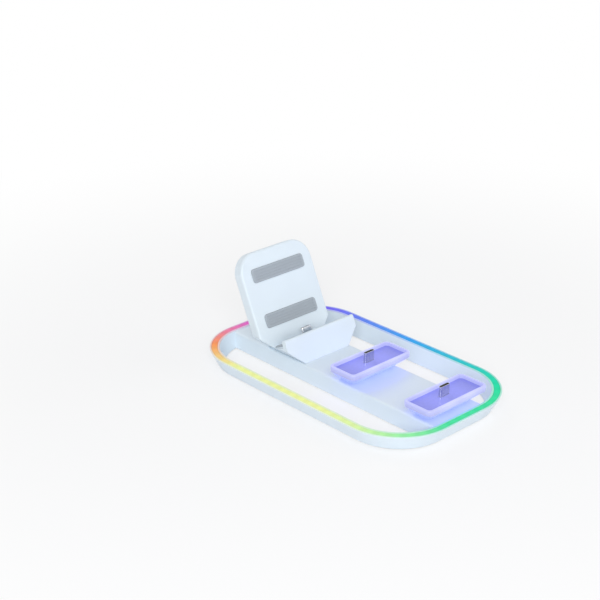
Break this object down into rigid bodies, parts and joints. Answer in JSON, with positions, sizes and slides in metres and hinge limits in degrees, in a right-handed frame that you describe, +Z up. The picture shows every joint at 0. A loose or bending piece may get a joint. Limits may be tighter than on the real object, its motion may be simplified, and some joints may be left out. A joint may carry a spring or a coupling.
{
  "type": "controller charging dock",
  "caption": "White charging dock: a rounded ring base with a glowing light strip, a beam across it, lit gamepad seats and a leaning cradle for a handheld console.",
  "frame": {"origin": "centre of the ring's plan, on the surface the dock stands on", "axes": "+Z up, +Y from the front seat to the backrest, +X to the right as seen from the front"},
  "size_m": [0.1136, 0.1896, 0.0694],
  "materials": {
    "shell_plastic": "cool white, fine satin texture",
    "button_plastic": "cool white, satin",
    "light_diffuser": "frosted milky diffuser, lit from below in changing colours",
    "seat_diffuser": "frosted translucent plastic, lit violet from inside",
    "strip_film": "white solder mask",
    "lamp_resin": "clear lamp resin",
    "board_laminate": "green solder mask",
    "chip_resin": "moulded black resin",
    "coil_ferrite": "dark grey ferrite",
    "connector_plastic": "black moulded plastic",
    "switch_plastic": "black moulded plastic",
    "connector_steel": "bright plated steel",
    "screw_steel": "zinc-plated steel",
    "foot_rubber": "matt grey rubber",
    "pad_rubber": "matt pale grey silicone rubber"
  },
  "bodies": {
    "dock": {"back_cover_screws": "screw_steel", "backrest_pads": "pad_rubber", "base_shell": "shell_plastic", "board_screws": "screw_steel", "bottom_cover": "shell_plastic", "charge_chips": "chip_resin", "corner_feet": "foot_rubber", "cover_screws": "screw_steel", "cradle_back_cover": "shell_plastic", "cradle_board": "board_laminate", "cradle_floor_pad": "pad_rubber", "cradle_screws": "screw_steel", "cradle_shell": "shell_plastic", "front_plug_block": "connector_plastic", "front_plug_insert": "connector_plastic", "front_plug_shell": "connector_steel", "front_seat_board": "board_laminate", "front_seat_cup": "seat_diffuser", "front_seat_leds": "lamp_resin", "handheld_plug_block": "connector_plastic", "handheld_plug_insert": "connector_plastic", "handheld_plug_shell": "connector_steel", "led_strip": "strip_film", "light_guide": "light_diffuser", "link_headers": "connector_plastic", "main_board": "board_laminate", "mode_switch": "switch_plastic", "power_coils": "coil_ferrite", "power_inlet_shell": "connector_steel", "power_inlet_tongue": "connector_plastic", "rear_plug_block": "connector_plastic", "rear_plug_insert": "connector_plastic", "rear_plug_shell": "connector_steel", "rear_seat_board": "board_laminate", "rear_seat_cup": "seat_diffuser", "rear_seat_leds": "lamp_resin", "ring_leds": "lamp_resin", "seat_screws": "screw_steel"},
    "button": {"mode_button": "button_plastic", "switch_plunger": "switch_plastic"}
  },
  "joints": [
    {"name": "button_press", "type": "slide", "parent": "dock", "child": "button", "axis": [0, 0, -1], "range_m": [0, 0.0004], "stiffness_N_per_m": 3000}
  ]
}
